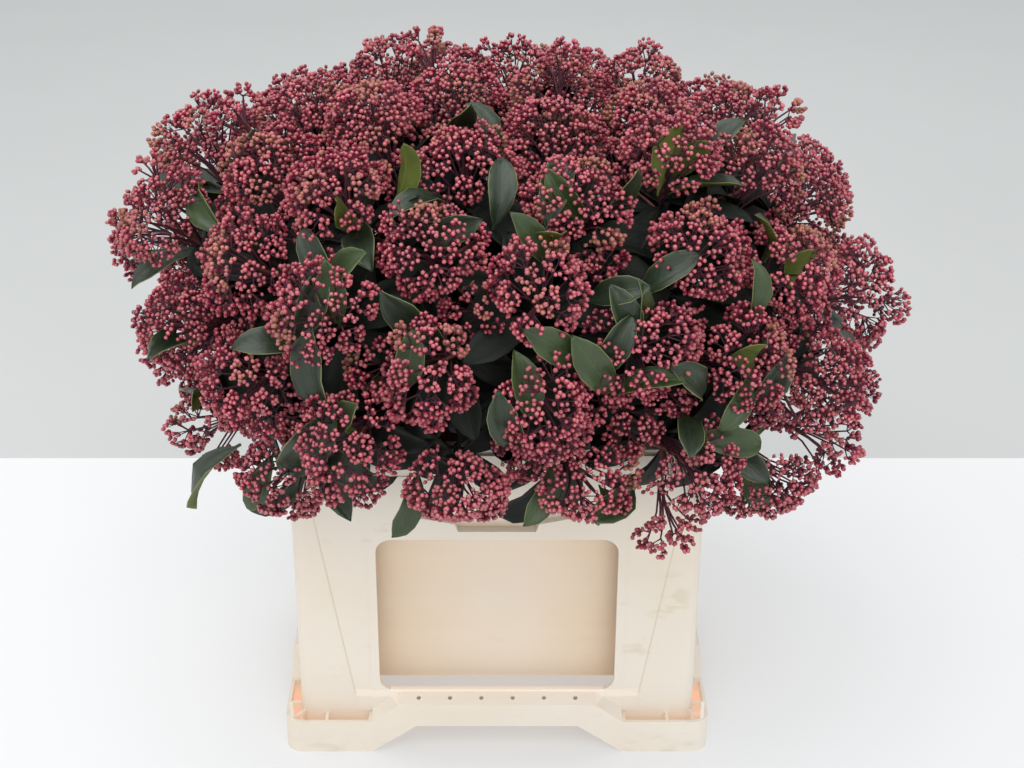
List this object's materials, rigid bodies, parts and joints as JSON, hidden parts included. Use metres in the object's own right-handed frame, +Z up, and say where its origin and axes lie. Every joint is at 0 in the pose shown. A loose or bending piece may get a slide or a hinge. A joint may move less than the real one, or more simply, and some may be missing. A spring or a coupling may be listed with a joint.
{
  "type": "skimmia stems in a flower container",
  "caption": "Cut skimmia stems with domed heads of dark red buds and glossy leaves, standing in a cream plastic bucket and footed sleeve.",
  "frame": {"origin": "on the ground under the middle of the container", "axes": "+Z up, -Y towards the front window, +X to the right seen from the front"},
  "size_m": [0.6834, 0.5614, 0.6188],
  "materials": {
    "cream_plastic": "satin",
    "stem_bark": "matte bark",
    "bud_red": "waxy buds"
  },
  "bodies": {
    "root": {"sleeve": "cream_plastic", "bucket": "cream_plastic", "stem_01": "stem_bark", "stem_02": "stem_bark", "stem_03": "stem_bark", "stem_04": "stem_bark", "stem_05": "stem_bark", "stem_06": "stem_bark", "stem_07": "stem_bark", "stem_08": "stem_bark", "stem_09": "stem_bark", "stem_10": "stem_bark", "stem_11": "stem_bark", "stem_12": "stem_bark", "stem_13": "stem_bark", "stem_14": "stem_bark", "stem_15": "stem_bark", "stem_16": "stem_bark", "stem_17": "stem_bark", "stem_18": "stem_bark", "stem_19": "stem_bark", "stem_20": "stem_bark", "stem_21": "stem_bark", "stem_22": "stem_bark", "stem_23": "stem_bark", "bud_heads_01": "bud_red", "bud_heads_02": "bud_red", "bud_heads_03": "bud_red", "bud_heads_04": "bud_red", "bud_heads_05": "bud_red", "bud_heads_06": "bud_red", "bud_heads_07": "bud_red", "bud_heads_08": "bud_red", "bud_heads_09": "bud_red", "bud_heads_10": "bud_red", "bud_heads_11": "bud_red", "bud_heads_12": "bud_red", "bud_heads_13": "bud_red", "bud_heads_14": "bud_red", "bud_heads_15": "bud_red", "bud_heads_16": "bud_red", "bud_heads_17": "bud_red", "bud_heads_18": "bud_red", "bud_heads_19": "bud_red", "bud_heads_20": "bud_red", "bud_heads_21": "bud_red", "bud_heads_22": "bud_red", "bud_heads_23": "bud_red"}
  },
  "joints": []
}
